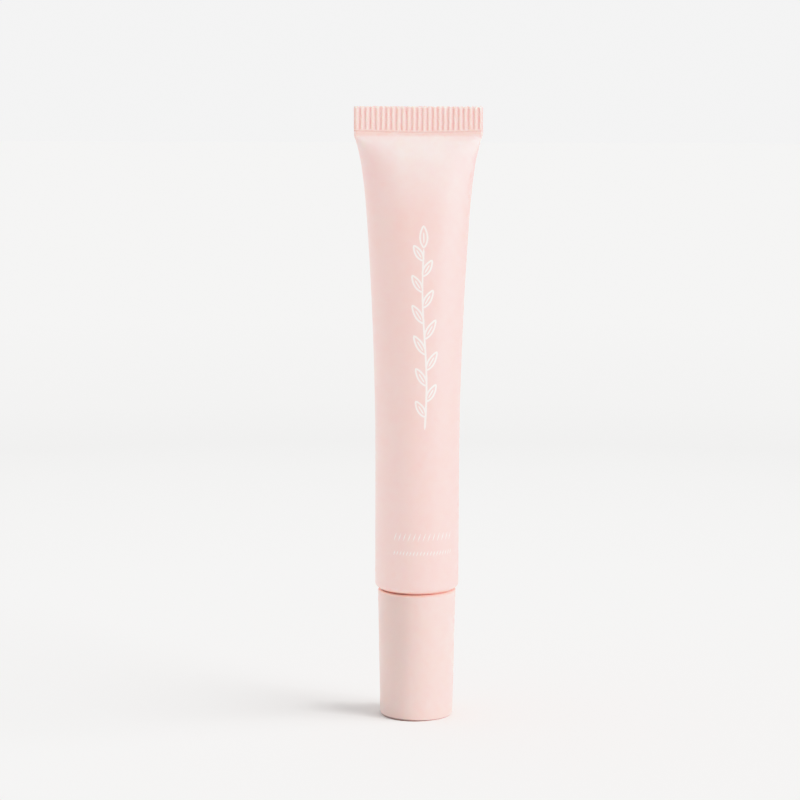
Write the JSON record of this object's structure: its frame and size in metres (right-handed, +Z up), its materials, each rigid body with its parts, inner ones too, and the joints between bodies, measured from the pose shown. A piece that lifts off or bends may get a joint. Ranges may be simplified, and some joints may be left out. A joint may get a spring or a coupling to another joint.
{
  "type": "lip gloss tube",
  "caption": "Slim soft squeeze tube with a crimped seal, standing on a plain screw cap that covers a slanted soft applicator tip.",
  "frame": {"origin": "centre of the cap's flat base, on the surface the tube stands on", "axes": "+Z up along the tube towards the crimped seal, X along the seal, -Y out of the printed front"},
  "size_m": [0.0246, 0.016, 0.1167],
  "materials": {
    "cap_shell": "matte pink polypropylene",
    "cap_core": "natural white polypropylene",
    "seal_ring": "soft foam liner",
    "tube_head": "satin pink polyethylene",
    "nozzle_insert": "natural polyethylene",
    "applicator_tip": "soft-touch elastomer",
    "tube_sleeve": "satin pink polyethylene",
    "gloss": "clear pink gel"
  },
  "bodies": {
    "cap": {"cap_shell": "cap_shell", "cap_core": "cap_core"},
    "ring": {"cap_seal_ring": "seal_ring"},
    "tube": {"tube_head": "tube_head", "nozzle_insert": "nozzle_insert", "applicator_tip": "applicator_tip", "tube_sleeve": "tube_sleeve", "gloss_fill": "gloss"}
  },
  "joints": [
    {"name": "unscrew", "type": "hinge", "parent": "cap", "child": "ring", "pos_m": [0, 0, 0.0174], "axis": [0, 0, 1], "range_deg": [0, 2160]},
    {"name": "lift", "type": "slide", "parent": "ring", "child": "tube", "axis": [0, 0, 1], "range_m": [0, 0.024]}
  ],
  "couplings": [
    {"joint": "lift", "follows": "unscrew", "m_per_rad": 0.00063662}
  ]
}
